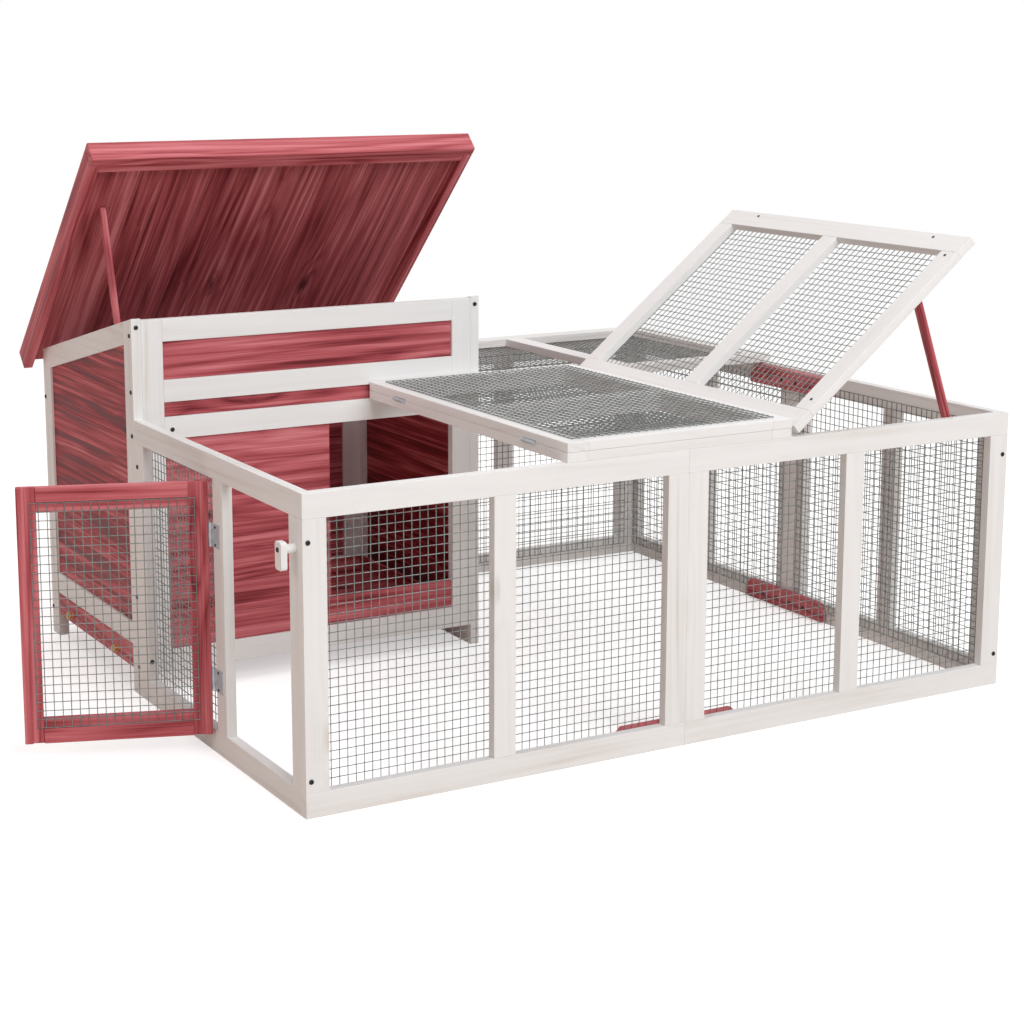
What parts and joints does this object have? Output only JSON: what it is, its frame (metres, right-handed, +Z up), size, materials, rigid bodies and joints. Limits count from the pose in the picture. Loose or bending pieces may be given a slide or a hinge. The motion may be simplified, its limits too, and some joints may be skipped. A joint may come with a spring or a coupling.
{
  "type": "rabbit hutch",
  "caption": "Wooden rabbit hutch: a low netted run with hinged lids and a mesh side door, and a boarded house with a lifting roof and a slide-out tray.",
  "frame": {"origin": "middle of the whole footprint at rest, the open door included, on the ground", "axes": "+X along the front from left to right, +Y from the front to the back, +Z up"},
  "size_m": [1.8998, 1.3986, 1.1119],
  "materials": {
    "pale_wood": "white-washed pine, matte",
    "red_wood": "red-stained pine, satin",
    "knob_wood": "varnished light wood",
    "net_steel": "galvanised welded mesh",
    "hinge_steel": "zinc plated"
  },
  "bodies": {
    "hutch": {"door_hinge_high_fixed": "hinge_steel", "door_hinge_low_fixed": "hinge_steel", "front_seam_plate": "red_wood", "house_back_boards": "red_wood", "house_back_frame": "pale_wood", "house_front_frame": "pale_wood", "house_front_mid_board": "red_wood", "house_front_top_board": "red_wood", "house_front_wall": "red_wood", "house_left_boards": "red_wood", "house_left_frame": "pale_wood", "house_right_boards": "red_wood", "house_right_frame": "pale_wood", "left_lid_hinge_front_fixed": "hinge_steel", "left_lid_hinge_rear_fixed": "hinge_steel", "middle_lid_frame": "pale_wood", "middle_lid_net": "net_steel", "right_lid_hinge_front_fixed": "hinge_steel", "right_lid_hinge_rear_fixed": "hinge_steel", "roof_hinge_fixed": "hinge_steel", "run_back_frame": "pale_wood", "run_back_net": "net_steel", "run_front_left_frame": "pale_wood", "run_front_left_net": "net_steel", "run_front_right_frame": "pale_wood", "run_front_right_net": "net_steel", "run_left_frame": "pale_wood", "run_left_net": "net_steel", "run_roof_frame": "pale_wood", "run_roof_net": "net_steel", "run_side_front_frame": "pale_wood", "run_side_front_net": "net_steel", "run_side_rear_frame": "pale_wood", "run_side_rear_net": "net_steel", "side_seam_plate_high": "red_wood", "side_seam_plate_low": "red_wood", "tray_runner_front": "red_wood", "tray_runner_rear": "red_wood"},
    "roof": {"roof_boards": "red_wood", "roof_apron": "red_wood", "roof_hinge_moving": "hinge_steel"},
    "roof_stay": {"roof_stay": "red_wood"},
    "left_lid": {"left_lid_frame": "pale_wood", "left_lid_net": "net_steel", "left_lid_hinge_front_moving": "hinge_steel", "left_lid_hinge_rear_moving": "hinge_steel"},
    "right_lid": {"right_lid_frame": "pale_wood", "right_lid_net": "net_steel", "right_lid_hinge_front_moving": "hinge_steel", "right_lid_hinge_rear_moving": "hinge_steel"},
    "right_lid_stay": {"right_lid_stay": "red_wood"},
    "door": {"door_frame": "red_wood", "door_net": "net_steel", "door_hinge_low_moving": "hinge_steel", "door_hinge_high_moving": "hinge_steel"},
    "turn_button": {"turn_button": "pale_wood"},
    "tray": {"tray_front": "red_wood", "tray_pan": "red_wood", "tray_knob_front": "knob_wood", "tray_knob_rear": "knob_wood"}
  },
  "joints": [
    {"name": "roof_hinge", "type": "hinge", "parent": "hutch", "child": "roof", "pos_m": [-0.22763, 0.65204, 0.63785], "axis": [1, 0, 0], "range_deg": [0, 31]},
    {"name": "roof_stay_pivot", "type": "hinge", "parent": "roof", "child": "roof_stay", "pos_m": [-0.59383, 0.30615, 0.96893], "axis": [1, 0, 0], "range_deg": [0, 62.4]},
    {"name": "left_lid_hinge", "type": "hinge", "parent": "hutch", "child": "left_lid", "pos_m": [-0.10343, -0.30676, 0.58815], "axis": [0, 1, 0], "range_deg": [-180, 0]},
    {"name": "right_lid_hinge", "type": "hinge", "parent": "hutch", "child": "right_lid", "pos_m": [0.40317, -0.30676, 0.58815], "axis": [0, 1, 0], "range_deg": [0, 38.7]},
    {"name": "right_lid_stay_pivot", "type": "hinge", "parent": "right_lid", "child": "right_lid_stay", "pos_m": [0.72309, -0.66926, 0.8089], "axis": [0, 1, 0], "range_deg": [0, 71.3]},
    {"name": "door_hinge", "type": "hinge", "parent": "hutch", "child": "door", "pos_m": [-0.62343, -0.30496, 0.278], "axis": [0, 0, 1], "range_deg": [-2, 109.6]},
    {"name": "turn_button_pivot", "type": "hinge", "parent": "hutch", "child": "turn_button", "pos_m": [-0.63513, -0.66926, 0.472], "axis": [1, 0, 0], "range_deg": [-90, 90]},
    {"name": "tray_slide", "type": "slide", "parent": "hutch", "child": "tray", "axis": [-1, 0, 0], "range_m": [0, 0.45]}
  ],
  "couplings": [
    {"joint": "roof_stay_pivot", "follows": "roof_hinge", "ratio": 2.01},
    {"joint": "right_lid_stay_pivot", "follows": "right_lid_hinge", "ratio": 1.838}
  ]
}
